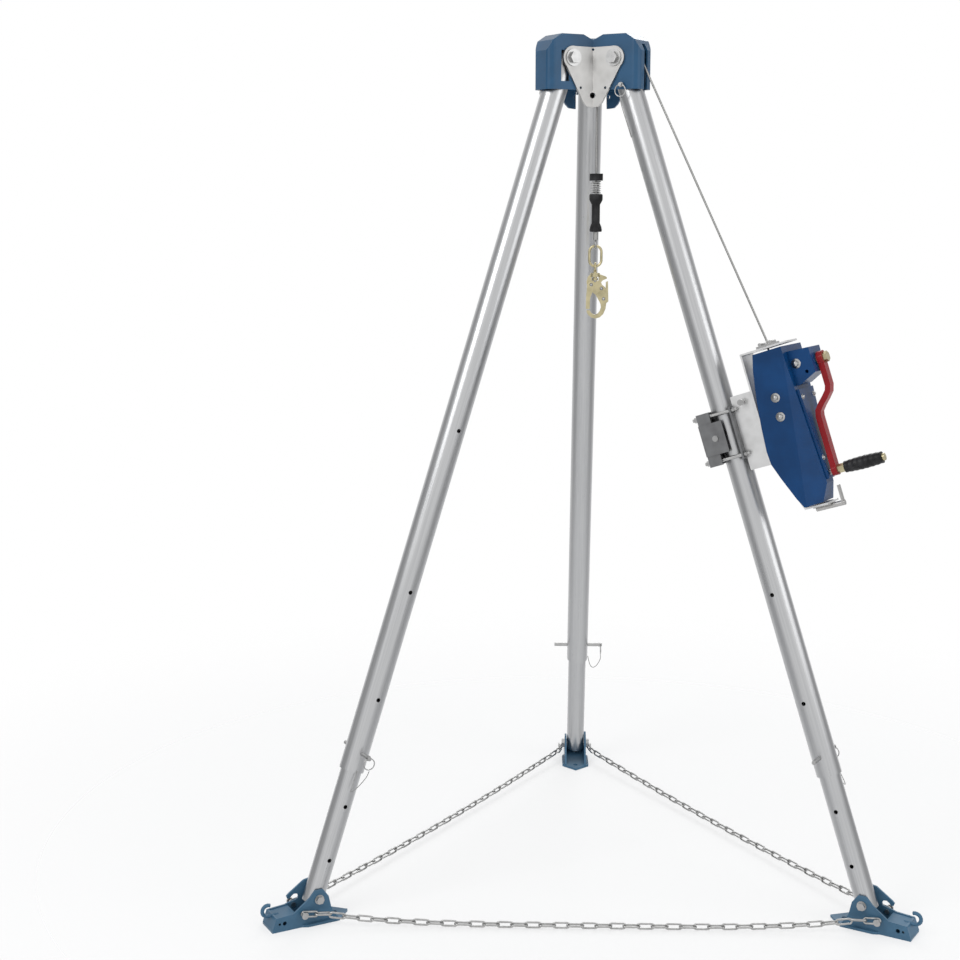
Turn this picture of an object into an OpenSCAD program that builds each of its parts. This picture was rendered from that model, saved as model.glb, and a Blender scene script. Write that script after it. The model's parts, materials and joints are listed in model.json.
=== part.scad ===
// Three-legged rescue tripod with a hand winch, wire rope, snap hook and foot chains.
// Millimetres, Z up, standing on z = 0. Legs: rear, left, right, counter-clockwise from above.

/* [Legs] */
// angle of each leg from the vertical
lean = 19; // [17:0.5:21]
// leg length from head pivot to foot pivot
leg_len = 1983; // [1940:1:2040]
// outside diameter of the upper leg tube
upper_od = 57.2; // [56:0.1:58]
// wall of the upper leg tube
upper_wall = 4; // [3.5:0.1:4.3]
// radial gap between the lower and the upper tube
slide_gap = 0.4; // [0.3:0.05:0.6]
// wall of the lower leg tube
lower_wall = 3.2; // [2.5:0.1:4]
// spacing of the setting holes along the tubes
hole_pitch = 127; // [125:1:129]
// diameter of the leg setting pin
pin_d = 9.5; // [8:0.5:10]

/* [Head] */
// radius of the leg pivots about the tripod axis
pivot_r = 76; // [74:1:78]
// reach of a head arm from the axis
arm_reach = 137; // [136:1:140]
// width of a head arm
arm_w = 72; // [71:0.5:74]
// head casing sheet thickness
sheet = 4; // [3:0.5:4]
// thickness of the bent anchor plates
plate_t = 6; // [5:0.5:7]
// diameter of the leg pivot bolts
bolt_d = 16; // [14:0.5:17]

/* [Rope and sheaves] */
// wire rope diameter
rope_d = 5; // [4:0.1:5.2]
// rope centre radius on the outer sheave
sheave_a = 42; // [40:0.5:42]
// rope centre radius on the inner sheave
sheave_b = 14; // [13:0.5:14]
// distance of the hanging rope from the tripod axis
rope_off = 14; // [12:0.5:15]
// height of the top of the hanging block
block_top = 1677; // [1600:1:1690]

/* [Winch] */
// distance of the crank axis below the leg pivot, along the leg
crank_s = 780; // [770:1:790]
// teeth of the crank pinion
pinion_teeth = 12; // [12:1:13]
// teeth of the drum gear
gear_teeth = 46; // [44:1:47]
// gear module
module_g = 2; // [1.9:0.05:2]
// crank radius
crank_r = 243; // [230:1:250]
// housing width across the leg
house_w = 120; // [116:1:124]

/* [Feet and chain] */
// height of the foot pivot
foot_h = 58; // [57:0.5:62]
// chain wire diameter
wire_d = 4.5; // [4:0.1:4.6]
// chain link pitch
link_p = 32; // [31.5:0.1:33]

/* [View] */
// sub-part to build

/* [Hidden] */
$fn = 48;
az = [90, 210, 330];
ring_side = [-1, 1, 1];
hook_side = [-1, -1, 1];
upper_r = upper_od / 2;
bore_r = upper_r - upper_wall;
lower_r = bore_r - slide_gap;
lower_bore = lower_r - lower_wall;
pin_r = pin_d / 2;
gate_x = -9;
gate_z = 22;
run_gap = 0.08;
pivot_z = foot_h + leg_len * cos(lean);
foot_r = pivot_r + leg_len * sin(lean);
upper_top = 30;
pin_s = leg_len - 343;
upper_end = pin_s + 45;
lower_top = pin_s - 4 * hole_pitch - 60;
lower_end = leg_len + 15;
toe_r = 118;
foot_out = toe_r + 13;
base_half = 31;
axis_y = -((foot_r + foot_out) * (1 - sin(30)) - base_half * cos(30)) / 2;
bolt_r = bolt_d / 2;
rope_r = rope_d / 2;
half_in = arm_w / 2 - sheet;
case_top = 52;
case_bot = -70;
lock_s = 64;
lock_r = 4;
slot_half = 9;
sheave_half = 6;
b_r = rope_off + sheave_b;
b_z = -46;
pinion_r = pinion_teeth * module_g / 2;
gear_r = gear_teeth * module_g / 2;
drum_s = crank_s + pinion_r + gear_r;
guide_n = 145;
guide_s = 709;
wind_r = 38;
house_front = 196;
facet_tilt = 5.3;
drum_n = 126;
drum_r = 47;
wind_n = 152;
clamp_s = 886;
rod_t = 34.2;
rod_r = 4;
ear_face = lower_r + 6.2;
chain_x = 41;
chain_z = 33;
chain_stand = 8;
run_phi = acos(sheave_a / norm([guide_n, guide_s])) - atan2(guide_s, guide_n);
ab = [b_r - pivot_r, b_z];
over_a = atan2(ab[1], ab[0]) + 360 - acos((sheave_a - sheave_b) / norm(ab));
steel = [0.62, 0.63, 0.64];
blue = [0.16, 0.30, 0.46];

// frame of one leg's radial plane, X outward from the tripod axis
module at_leg(i) translate([0, axis_y, 0]) rotate([0, 0, az[i]]) children();

// frame of one leg, origin at its head pivot, Z up along the tube, X outward
module on_leg(i) at_leg(i) translate([pivot_r, 0, pivot_z]) rotate([0, -lean, 0]) children();

// head frame of one arm, origin on the tripod axis at pivot height
module at_arm(i) at_leg(i) translate([0, 0, pivot_z]) children();

// foot frame, origin on the floor below the foot pivot
module at_foot(i) at_leg(i) translate([foot_r, 0, 0]) children();

// hanging block frame, on the hanging rope's line at floor height
module at_block() translate([rope_off * cos(az[2]), axis_y + rope_off * sin(az[2]), 0]) children();

// rod along Y from y0 to y1
module ybar(r, y0, y1) translate([0, y0, 0]) rotate([-90, 0, 0]) cylinder(r = r, h = y1 - y0);

// rod along X from x0 to x1
module xbar(r, x0, x1) translate([x0, 0, 0]) rotate([0, 90, 0]) cylinder(r = r, h = x1 - x0);

// plate of a side profile drawn in X and Z, from y0 to y1
module yplate(y0, y1) translate([0, y1, 0]) rotate([90, 0, 0]) linear_extrude(y1 - y0) children();

// straight rod between two points
module rod(a, b, r) {
  v = b - a;
  translate(a) rotate([0, acos(v[2] / norm(v)), atan2(v[1], v[0])]) cylinder(r = r, h = norm(v));
}

function unit(v) = v / norm(v);
function arc(cx, cy, r, a0, a1, n) = [for (k = [0:n]) let(a = a0 + (a1 - a0) * k / n) [cx + r * cos(a), cy + r * sin(a)]];

// Catmull-Rom curve through the points, m steps a span
function curve(p, m) = [for (i = [0:len(p) - 2], k = [0:m - (i == len(p) - 2 ? 0 : 1)])
  let(a = p[max(i - 1, 0)], b = p[i], c = p[i + 1], d = p[min(i + 2, len(p) - 1)], t = k / m)
  0.5 * (2 * b + (c - a) * t + (2 * a - 5 * b + 4 * c - d) * t * t + (3 * b - a - 3 * c + d) * t * t * t)];

// round tube swept along points, ref is a direction the path never follows
module sweep(p, r, sides, ref) {
  n = len(p);
  rings = [for (i = [0:n - 1])
    let(t = unit(p[min(i + 1, n - 1)] - p[max(i - 1, 0)]), u = unit(cross(t, ref)), w = cross(t, u))
    for (k = [0:sides - 1]) p[i] + r * (cos(360 * k / sides) * u + sin(360 * k / sides) * w)];
  quads = [for (i = [0:n - 2], k = [0:sides - 1]) let(q = (k + 1) % sides)
    let(a = i * sides + k, b = i * sides + q)
    each [[a, b + sides, b], [a, a + sides, b + sides]]];
  cap0 = [for (k = [1:sides - 2]) [0, k, k + 1]];
  e = (n - 1) * sides;
  cap1 = [for (k = [1:sides - 2]) [e, e + k + 1, e + k]];
  polyhedron(points = rings, faces = concat(quads, cap0, cap1));
}

// ring with its axis along Y
module yring(major, r) rotate([90, 0, 0]) rotate_extrude() translate([major, 0]) circle(r = r);

module arm_solid(i, inset) {
  hw = arm_w / 2 - inset;
  reach = arm_reach - inset;
  round_r = 18;
  top = case_top - inset;
  bot = inset > 0 ? case_bot - 20 : case_bot;
  plan = concat([[-1, -hw], [reach - round_r, -hw]], arc(reach - round_r, round_r - hw, round_r, -75, -15, 4),
    arc(reach - round_r, hw - round_r, round_r, 15, 75, 4), [[reach - round_r, hw], [-1, hw]]);
  side = [[-1, top - 12], [20, top - 12], [46, top], [reach - 34, top], [reach - 12, top - 14],
    [reach, top - 38], [reach, bot], [-1, bot]];
  at_arm(i) intersection() {
    translate([0, 0, -120]) linear_extrude(240) polygon(plan);
    yplate(-60, 60) polygon(side);
  }
}

module head_casing() color(blue) difference() {
  union() for (i = [0:2]) arm_solid(i, 0);
  for (i = [0:2]) arm_solid(i, sheet);
  for (i = [0:2]) at_arm(i) {
    translate([pivot_r, 0, 0]) ybar(bolt_r + 0.15, -60, 60);
    translate([pivot_r + lock_s * sin(lean), 0, -lock_s * cos(lean)]) ybar(lock_r + run_gap, -60, 0);
    translate([82, half_in - 3, -52]) cube([22, 20, 68]);
  }
  at_arm(2) {
    translate([b_r, 0, b_z]) ybar(6.1, -60, 60);
    translate([arm_reach - 14, -8, -90]) cube([30, 16, 120]);
  }
}

// one half of a bent anchor plate, on side s of an arm, mitred at the valley
module plate_half(i, s) at_arm(i) intersection() {
  yplate(s > 0 ? arm_w / 2 : -arm_w / 2 - plate_t, s > 0 ? arm_w / 2 + plate_t : -arm_w / 2) difference() {
    union() {
      polygon([[10, 24], [pivot_r, 25], [pivot_r + 24.5, -6], [66, -67], [47, -99], [38, -107], [10, -110]]);
      translate([pivot_r, 0]) circle(r = 25.5);
    }
    translate([pivot_r, 0]) circle(r = bolt_r + 0.15);
    translate([56, -66]) circle(r = 3);
  }
  rotate([0, 0, s * 60]) translate([-200, s > 0 ? -400 : 0, -300]) cube([600, 400, 600]);
}

// anchor plate bent across the valley from arm i to arm j
module anchor_plate(i, j) difference() {
  union() {
    plate_half(i, 1);
    plate_half(j, -1);
  }
  translate([0, axis_y, pivot_z]) rotate([0, 0, az[i] + 60]) {
    translate([0, 0, -82]) xbar(6.5, 10, 80);
    translate([0, 0, 19]) xbar(3, 10, 80);
  }
}

module front_plate() color([0.78, 0.77, 0.74]) anchor_plate(1, 2);

module side_plates() color(blue) {
  anchor_plate(0, 1);
  anchor_plate(2, 0);
}

module pivot_bolts() color(steel) for (i = [0:2]) at_arm(i) translate([pivot_r, 0, 0]) {
  face = arm_w / 2 + plate_t;
  ybar(bolt_r, -face - 3, face + 3);
  for (s = [-1, 1]) {
    scale([1, s, 1]) ybar(19, face, face + 3);
    scale([1, s, 1]) translate([0, face + 3, 0]) rotate([-90, 0, 0]) cylinder(r = 13.5, h = 9, $fn = 6);
  }
}

module sheave_axle() color(steel) at_arm(2) translate([b_r, 0, b_z]) ybar(6, -arm_w / 2 + 0.3, arm_w / 2 - 0.3);

// grooved wheel with its axis along Y
module sheave(rope_c, bore) rotate([90, 0, 0]) difference() {
  cylinder(r = rope_c + 3.5, h = 2 * sheave_half, center = true);
  cylinder(r = bore, h = 40, center = true);
  rotate_extrude() translate([rope_c, 0]) circle(r = rope_r + 0.5);
  rotate_extrude() polygon([[rope_c - 0.5, rope_r + 0.4], [rope_c - 0.5, -rope_r - 0.4], [rope_c + 4, -rope_r - 1.6], [rope_c + 4, rope_r + 1.6]]);
}

module outer_sheave() color([0.45, 0.44, 0.42]) at_arm(2) translate([pivot_r, 0, 0]) sheave(sheave_a, bolt_r + run_gap);

module inner_sheave() color([0.45, 0.44, 0.42]) at_arm(2) translate([b_r, 0, b_z]) sheave(sheave_b, 6 + run_gap);

// pin along Y with a pull ring hung in its cross hole at y1
module ring_pin(r, y0, y1) {
  difference() {
    union() {
      ybar(r, y0, y1);
      translate([0, y1 - 9, 0]) ybar(r + 1.5, 0, 2.5);
    }
    rotate([0, lean, 0]) translate([0, y1 - 3.5, 0]) xbar(2.4, -20, 20);
  }
  rotate([0, lean, 0]) translate([0, y1 - 3.5, -13]) yring(13, 1.3);
}

module head_pin(i) color(steel) on_leg(i) translate([0, 0, -lock_s]) mirror([0, 1, 0])
  ring_pin(lock_r, upper_r - 6, arm_w / 2 + 16);

module head_pin_rear() head_pin(0);

module head_pin_left() head_pin(1);

module head_pin_right() head_pin(2);

module upper_tube(i) color([0.71, 0.72, 0.72]) on_leg(i) difference() {
  translate([0, 0, -upper_end]) cylinder(r = upper_r, h = upper_end + upper_top);
  translate([0, 0, -upper_end - 5]) cylinder(r = bore_r, h = upper_end + upper_top + 10);
  translate([-60, -slot_half, -80]) cube([60, 2 * slot_half, 200]);
  translate([-10, -slot_half, -42]) cube([60, 2 * slot_half, 200]);
  ybar(bolt_r + run_gap, -60, 60);
  for (k = [0, 1, 3, 6]) translate([0, 0, -pin_s + k * hole_pitch]) ybar(pin_r + run_gap, -60, 60);
  translate([0, 0, -lock_s]) ybar(lock_r + 0.4, -40, -15);
  translate([0, -40, -lock_s - lock_r - 0.4]) cube([40, 25, 13]);
}

module upper_tube_rear() upper_tube(0);

module upper_tube_left() upper_tube(1);

module upper_tube_right() upper_tube(2);

module lower_tube(i) color([0.74, 0.75, 0.75]) on_leg(i) difference() {
  translate([0, 0, -lower_end]) cylinder(r = lower_r, h = lower_end - lower_top);
  translate([0, 0, -lower_end - 5]) cylinder(r = lower_bore, h = lower_end - lower_top + 10);
  for (k = [-2:4]) translate([0, 0, -pin_s + k * hole_pitch]) ybar(pin_r + run_gap, -60, 60);
  translate([0, 0, -leg_len]) ybar(6 + run_gap, -60, 60);
}

module lower_tube_rear() lower_tube(0);

module lower_tube_left() lower_tube(1);

module lower_tube_right() lower_tube(2);

module leg_pin(i) color(steel) on_leg(i) translate([0, 0, -pin_s]) scale([1, ring_side[i], 1])
  ring_pin(pin_r, -upper_r - 36, upper_r + 40);

module leg_pin_rear() leg_pin(0);

module leg_pin_left() leg_pin(1);

module leg_pin_right() leg_pin(2);

// thin wire from the pull ring to a clip at the lower end of the tube
module lanyard(i) color([0.5, 0.5, 0.5]) {
  s = ring_side[i];
  on_leg(i) scale([1, s, 1]) {
    route = [[-9.3, upper_r + 36.5, -pin_s - 27.3], [-6, upper_r + 36, -pin_s - 45], [4, upper_r + 28, -pin_s - 72],
      [10, upper_r + 17, -pin_s - 85], [6, upper_r + 8, -pin_s - 72], [0, upper_r + 1.2, -pin_s - 40]];
    sweep(curve(route, 2), 1, 8, [1, 0, 0.2]);
  }
  on_leg(i) {
    loop = [[-9.3, -arm_w / 2 - 12.5, -lock_s - 27.3], [-12, -arm_w / 2 - 10, -lock_s - 48],
      [-15, -arm_w / 2 - 2, -lock_s - 84], [-18, -upper_r - 2, -lock_s - 104], [-23, -19.6, -lock_s - 114]];
    if (i > 0) sweep(curve(loop, 2), 1, 8, [1, 0, 0.2]);
  }
}

module lanyard_rear() lanyard(0);

module lanyard_left() lanyard(1);

module lanyard_right() lanyard(2);

// side wall of a foot, drawn in X and Z from the point below the pivot
module ear_profile() {
  polygon([[-46, 5], [-30, 30], [-23, 62], [-10, 80], [10, 80], [24, 64], [62, 36], [toe_r - 14, 33], [toe_r - 4, 5]]);
}

// ear that rises behind the tube and ends in a downward chain hook
module hook_ear_profile() {
  polygon([[-46, 5], [-30, 30], [-23, 62], [-10, 82], [2, 88], [14, 86], [52, 60], [57, 55], [55, 49], [50, 48],
    [45, 54], [39, 58], [32, 57], [28, 51], [30, 45], [40, 42], [50, 40], [62, 36], [toe_r - 14, 33], [toe_r - 4, 5]]);
}

module foot(i) color(blue) at_foot(i) {
  inner = lower_r + 1.2;
  difference() {
    union() {
      scale([1, -hook_side[i], 1]) yplate(inner, inner + 5) ear_profile();
      scale([1, hook_side[i], 1]) yplate(inner, inner + 5) hook_ear_profile();
      linear_extrude(6) polygon([[-82, 0], [-46, -inner - 12], [30, -inner - 12], [44, -inner - 5], [toe_r - 4, -inner - 5],
        [toe_r - 4, inner + 5], [44, inner + 5], [30, inner + 12], [-46, inner + 12]]);
      yplate(-inner - 1, inner + 1) polygon([[56, 35], [62, 34], [toe_r - 14, 31], [toe_r - 14, 27], [56, 29]]);
      yplate(-inner - 1, inner + 1) polygon([[toe_r - 19, 32.5], [toe_r - 14, 32.5], [toe_r - 4.2, 5], [toe_r - 9.2, 5]]);
    }
    translate([0, 0, foot_h]) ybar(6.3, -60, 60);
    for (s = [-1, 1]) translate([41, 0, 33]) ybar(3.15, -60, 60);
    translate([84, 0, 18]) ybar(5, -60, 60);
    translate([96, 0, 18]) ybar(3, -60, 60);
    translate([-48, 0, -5]) cylinder(r = 7, h = 20);
  }
  toe = concat([[toe_r - 30, 0, 29.5]], [for (a = [-85:20:115]) [toe_r - 5 + 13 * cos(a), 0, 42.5 + 13 * sin(a)]]);
  sweep(toe, 4.5, 8, [0, 1, 0]);
}

module foot_rear() foot(0);

module foot_left() foot(1);

module foot_right() foot(2);

module foot_bolts(i) color(steel) at_foot(i) {
  face = ear_face;
  translate([0, 0, foot_h]) {
    ybar(6, -face - 1, face + 1);
    for (s = [-1, 1]) scale([1, s, 1]) {
      ybar(11, face, face + 2);
      translate([0, face + 1, 0]) rotate([-90, 0, 0]) cylinder(r = 9.5, h = 8, $fn = 6);
    }
  }
  for (s = [-1, 1]) scale([1, s, 1]) translate([chain_x, 0, chain_z]) {
    ybar(3, face - 7, face + chain_stand + wire_d + 2);
    ybar(5, face, face + chain_stand);
    ybar(8, face + chain_stand + wire_d + 0.8, face + chain_stand + wire_d + 5);
    ybar(5.5, face - 9, face - 5);
  }
}

module foot_bolts_rear() foot_bolts(0);

module foot_bolts_left() foot_bolts(1);

module foot_bolts_right() foot_bolts(2);

// one long chain link, length along X, flat in X and Z
module link() {
  wr = wire_d / 2;
  end_r = 3.6 + wr;
  half = link_p / 2 - 3.6;
  for (s = [-1, 1]) {
    translate([0, 0, s * end_r]) xbar(wr, -half, half);
    scale([s, 1, 1]) translate([half, 0, 0]) rotate([90, 0, 0]) rotate([0, 0, -90])
      rotate_extrude(angle = 180) translate([end_r, 0]) circle(r = wr);
  }
}

// half of a chain, from side s of a foot to the middle of the span to the next foot
module chain_half(i, s) {
  t0 = s * (ear_face + chain_stand + 0.4 + wire_d / 2);
  end_x = foot_r + chain_x - (link_p / 2 - 3.3);
  join = [end_x - link_p / 2 + 0.15, t0];
  along = [-sin(60), s * cos(60)];
  across = [cos(60), s * sin(60)];
  d0 = join * along;
  span = -2 * d0;
  links = 2 * ceil((span / (link_p - 0.2) - 1) / 2) + 1;
  step = span / links;
  slack = i == 1 && s > 0 || i == 2 && s < 0;
  sag = slack ? 23 : 14;
  function drop(k) = chain_z - sag * (1 - pow(1 - 2 * k / links, slack ? 4 : 2));
  at_leg(i) {
    translate([end_x, t0, chain_z]) link();
    for (k = [0:(links - 1) / 2 - (s > 0 ? 0 : 1)]) {
      c = across * (join * across) + along * (d0 + (k + 0.5) * step);
      tip = atan2(drop(k) - drop(k + 1), step);
      translate([c[0], c[1], (drop(k) + drop(k + 1)) / 2]) rotate([0, 0, atan2(along[1], along[0])])
        rotate([0, tip, 0]) rotate([k % 2 == 0 ? 90 : 0, 0, 0]) link();
    }
  }
}

module chain(i) color([0.6, 0.6, 0.58]) {
  chain_half(i, 1);
  chain_half(i, -1);
}

module chain_rear() chain(0);

module chain_left() chain(1);

module chain_right() chain(2);

module rope_run() color([0.5, 0.5, 0.5]) on_leg(2) sweep([[sheave_a * cos(run_phi), 0, sheave_a * sin(run_phi)],
  [guide_n, 0, -guide_s], [wind_n, -wind_r - 8, -drum_s]], rope_r, 8, [1, 0, 0]);

// rope laid over both sheaves and turned down to the hanging line
module rope_over() color([0.5, 0.5, 0.5]) at_arm(2) {
  a0 = run_phi + lean + 1.2;
  on_a = [for (k = [0:8]) let(a = a0 + (over_a - a0) * k / 8) [pivot_r + sheave_a * cos(a), 0, sheave_a * sin(a)]];
  on_b = [for (k = [0:3]) let(a = over_a + (180 - over_a) * k / 3) [b_r + sheave_b * cos(a), 0, b_z + sheave_b * sin(a)]];
  sweep(concat(on_a, on_b), rope_r, 8, [0, 1, 0]);
}

module rope_hang() color([0.5, 0.5, 0.5]) at_block() translate([0, 0, block_top + 0.3])
  cylinder(r = rope_r, h = pivot_z + b_z - block_top - 0.6);

module block_collar() color([0.05, 0.05, 0.05]) at_block() translate([0, 0, block_top - 16]) difference() {
  cylinder(r = 15.5, h = 16);
  translate([0, 0, -1]) cylinder(r = rope_r + 0.3, h = 20);
}

module block_spring() color(steel) at_block() {
  turns = 5;
  low = block_top - 44;
  rise = 26;
  coil = [for (k = [0:8 * turns]) [10 * cos(45 * k), 10 * sin(45 * k), low + rise * k / (8 * turns)]];
  gap = min([for (k = [0:8 * turns - 8]) norm(coil[k + 8] - coil[k]) - 3.2]);
  echo(spring_self_gap = gap);
  sweep(coil, 1.6, 6, [0, 0, 1]);
}

module block_bumper() color([0.05, 0.05, 0.05]) at_block() translate([0, 0, block_top - 133]) rotate_extrude()
  polygon([[rope_r + 0.3, 0], [13.5, 0], [14.5, 4], [13, 12], [9.5, 20], [9.5, 62], [14, 70], [15.5, 74], [15.5, 84], [14, 86.5], [rope_r + 0.3, 86.5]]);

// swaged rope end with its eye
module rope_eye() color([0.5, 0.5, 0.5]) at_block() {
  translate([0, 0, block_top - 147]) cylinder(r = rope_r, h = 147);
  translate([0, 0, block_top - 152]) cylinder(r = 6, h = 18);
  translate([0, 0, block_top - 162.5]) rotate([0, 0, 90]) yring(9, 2.5);
}

// oval link and the bail of the hook's swivel
module hook_link() color([0.79, 0.74, 0.52]) at_block() translate([0, 0, block_top - 189]) {
  for (s = [-1, 1]) {
    translate([s * 14, 0, -9.5]) cylinder(r = 3, h = 19);
    translate([0, 0, s * 9.5]) rotate([90, 0, 0]) rotate([0, 0, s > 0 ? 0 : 180])
      rotate_extrude(angle = 180) translate([14, 0]) circle(r = 3);
  }
  translate([0, 0, -25.5]) rotate([0, 0, 90]) yring(8.5, 2.6);
  translate([0, 0, -52]) cylinder(r = 4, h = 19);
  translate([0, 0, -56]) cylinder(r = 6.5, h = 5);
}

module hook_body() color([0.79, 0.74, 0.52]) at_block() translate([0, 0, block_top - 277]) {
  difference() {
    union() {
      translate([0, 0, 40]) cylinder(r = 11, h = 9);
      // flat upper body with a horn on the lever side
      yplate(-3.2, 3.2) polygon([[-11, 46], [-17, 40], [-20, 28], [-17, 12], [2, -2], [13, -22], [26, -14],
        [27, 2], [24, 16], [17, 21], [14, 27], [18, 32], [27.5, 36], [27, 40], [11, 46]]);
      // bowl with the nose under the gate
      yplate(-5.5, 5.5) polygon([[10, 4], [3, -1], [13.5, -24], [14.5, -31], [12, -39], [8, -45], [2, -48.5],
        [-4, -47], [-9, -43], [-11.5, -38], [-19.5, -38], [-18.5, -43], [-15, -49], [-8, -54.5], [1, -57],
        [11, -54.5], [19.5, -47], [25, -34], [27, -18], [27, 2], [20, 8]]);
      // lock lever down the back
      yplate(-4.5, 4.5) polygon([[25.5, 28], [30, 30], [31.5, -17], [27, -21], [24, -19]]);
      for (p = [[15, 13, 3], [20, -11, 3]]) translate([p[0], 0, p[1]]) ybar(p[2], -7, 7);
      translate([gate_x, 0, gate_z]) ybar(2.6, -7.2, 7.2);
    }
    translate([0, 0, 28]) cylinder(r = 4 + run_gap, h = 30);
    translate([-8, -10, 31]) cube([16, 20, 9]);
  }
}

module hook_gate() color([0.74, 0.68, 0.46]) at_block() translate([0, 0, block_top - 277]) difference() {
  union() {
    for (s = [-1, 1]) scale([1, s, 1]) yplate(3.5, 6.4)
      polygon([[-18, 25], [-13, 30], [-6, 30], [-1, 25], [-1, 18], [-11, -9], [-20.5, -9], [-19, 10]]);
    yplate(-6.4, 6.4) polygon([[-20.4, -7], [-11.2, -7], [-12, -34.5], [-21, -34.5]]);
  }
  translate([gate_x, 0, gate_z]) ybar(2.6 + run_gap, -20, 20);
}

module leg_clamp() color([0.5, 0.51, 0.52]) on_leg(2) translate([0, 0, -clamp_s]) difference() {
  union() {
    translate([-52, -42, -61]) cube([5, 84, 122]);
    for (s = [-1, 1]) scale([1, s, 1]) {
      translate([-52, 38, -61]) cube([32, 4, 122]);
      translate([-52, 41.5, -36]) cube([58, 4, 72]);
    }
    translate([upper_r + 0.4, -42, -61]) cube([5, 84, 122]);
    translate([-upper_r - 18.5, -14, -50]) cube([18, 28, 100]);
  }
  for (s = [-1, 1], z = [-51, 51]) translate([0, s * rod_t, z]) xbar(rod_r + 0.2, -80, 80);
  for (s = [-1, 1]) scale([1, s, 1]) translate([-18, 0, 0]) ybar(5, 30, 60);
}

module clamp_rods() color(steel) on_leg(2) translate([0, 0, -clamp_s]) {
  for (s = [-1, 1], z = [-51, 51]) translate([0, s * rod_t, z]) {
    xbar(rod_r, -64, 46);
    for (x = [-60, upper_r + 6]) translate([x, 0, 0]) rotate([0, 90, 0]) cylinder(r = 6.3, h = 7, $fn = 6);
  }
  for (s = [-1, 1]) scale([1, s, 1]) translate([-18, 0, 0]) ybar(7, 45.5, 49);
  translate([62, 0, 62]) {
    ybar(4, -44, 40);
    ybar(7, -44, -38);
  }
}

module mount_bracket() color([0.8, 0.8, 0.79]) on_leg(2) translate([0, 0, -clamp_s]) difference() {
  union() {
    translate([84, -34, -90]) cube([4, 68, 170]);
    for (s = [-1, 1]) scale([1, s, 1]) translate([upper_r + 5.6, 22, -90]) cube([84 - upper_r - 5.6 + 1, 4, 170]);
    translate([upper_r + 5.6, -24, -40]) cube([4, 48, 80]);
  }
  translate([62, 0, 62]) {
    ybar(4.2, -60, 60);
    translate([-8, 0, 0]) ybar(4.2, -60, 60);
    translate([-8, -60, -4.2]) cube([8, 120, 8.4]);
  }
}

module winch_frame() color([0.76, 0.76, 0.75]) on_leg(2) difference() {
  yplate(-34, 34) polygon([[88, -722], [200, -722], [200, -726], [92, -726], [92, -971], [138, -1087], [190, -1087], [190, -1091],
    [135, -1091], [88, -973]]);
  translate([guide_n + 2, -8, -750]) cylinder(r = 9, h = 60);
}

// housing side outline in the leg's radial plane, bowed towards the leg
module house_side() polygon([[house_front, -732], [128, -732], [118, -770], [108, -830], [101, -890], [97, -945], [99, -975],
  [112, -1010], [134, -1062], [146, -1084], [180, -1084], [house_front, -1046]]);

// plane facet that widens down each front edge of the housing
module house_facet() translate([house_front, -house_w / 2, -745]) rotate([0, 0, -45]) rotate([0, facet_tilt, 0])
  translate([0, -200, -420]) cube([100, 400, 840]);

module winch_housing() color([0.12, 0.30, 0.52]) on_leg(2) difference() {
  yplate(-house_w / 2, house_w / 2) house_side();
  house_facet();
  mirror([0, 1, 0]) house_facet();
  translate([0, 0, -drum_s]) {
    xbar(drum_r + 4.5, drum_n - 6, drum_n + 52);
    xbar(gear_r + 3.5, drum_n + 50, house_front - 4);
    xbar(8.1, 90, house_front - 1);
  }
  translate([drum_n - 6, -51, -drum_s]) cube([56, 102, drum_s - 738]);
  translate([drum_n + 49, -46, -drum_s]) cube([house_front - 4 - drum_n - 49, 92, drum_s - 738]);
  translate([guide_n - 9, -40, -760]) cube([30, 54, 40]);
  translate([0, 0, -crank_s]) xbar(10 + run_gap, 150, 210);
}

module winch_cover() color([0.14, 0.34, 0.60]) on_leg(2) translate([house_front + 0.2, 0, 0]) rotate([0, 90, 0])
  linear_extrude(6.5) polygon([[832, -43], [832, 43], [850, 41], [1000, 22], [1038, 17], [1038, -17], [1000, -22], [850, -41]]);

module crank_boss() color([0.12, 0.30, 0.52]) on_leg(2) difference() {
  yplate(-34, 34) polygon([[house_front + 0.2, -746], [246, -750], [246, -806], [206, -824], [house_front + 0.2, -824]]);
  translate([0, 0, -crank_s]) xbar(10 + run_gap, 150, 300);
  translate([228, -60, -800]) ybar(4, 0, 60);
}

// rope lead-in on the winch's top plate
module rope_guide() color(steel) on_leg(2) difference() {
  union() {
    translate([guide_n - 20, -22, -721.7]) cube([44, 32, 5]);
    for (x = [-11, 14]) translate([guide_n + x, -20, -714]) ybar(4, 0, 28);
  }
  translate([guide_n - 5, -12, -730]) cube([12, 18, 40]);
}

// clip under the winch that holds the crank grip when stowed
module stow_clip() color([0.8, 0.8, 0.8]) on_leg(2) {
  translate([146, -14, -1094.3]) cube([42, 28, 3]);
  translate([0, 0, -1097.5]) xbar(6, 148, 216);
  translate([210, -6, -1097]) cube([4, 12, 40]);
}

module drum_shaft() color(steel) on_leg(2) translate([0, 0, -drum_s]) xbar(8, drum_n - 16, house_front - 1.5);

module drum() color([0.55, 0.55, 0.55]) on_leg(2) translate([drum_n, 0, -drum_s]) difference() {
  union() {
    xbar(22, 0, 48);
    xbar(drum_r, 0, 3);
    xbar(drum_r, 45, 48);
  }
  xbar(8 + run_gap, -10, 60);
}

module rope_winding() color([0.5, 0.5, 0.5]) on_leg(2) translate([drum_n, 0, -drum_s]) rotate([0, 90, 0]) rotate_extrude()
  polygon(concat([[22.2, 3.3]], [for (k = [0:17]) [wind_r - (k % 2 == 0 ? 1.6 : 0), 3.3 + 41.4 * k / 17]], [[22.2, 44.7]]));

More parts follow.
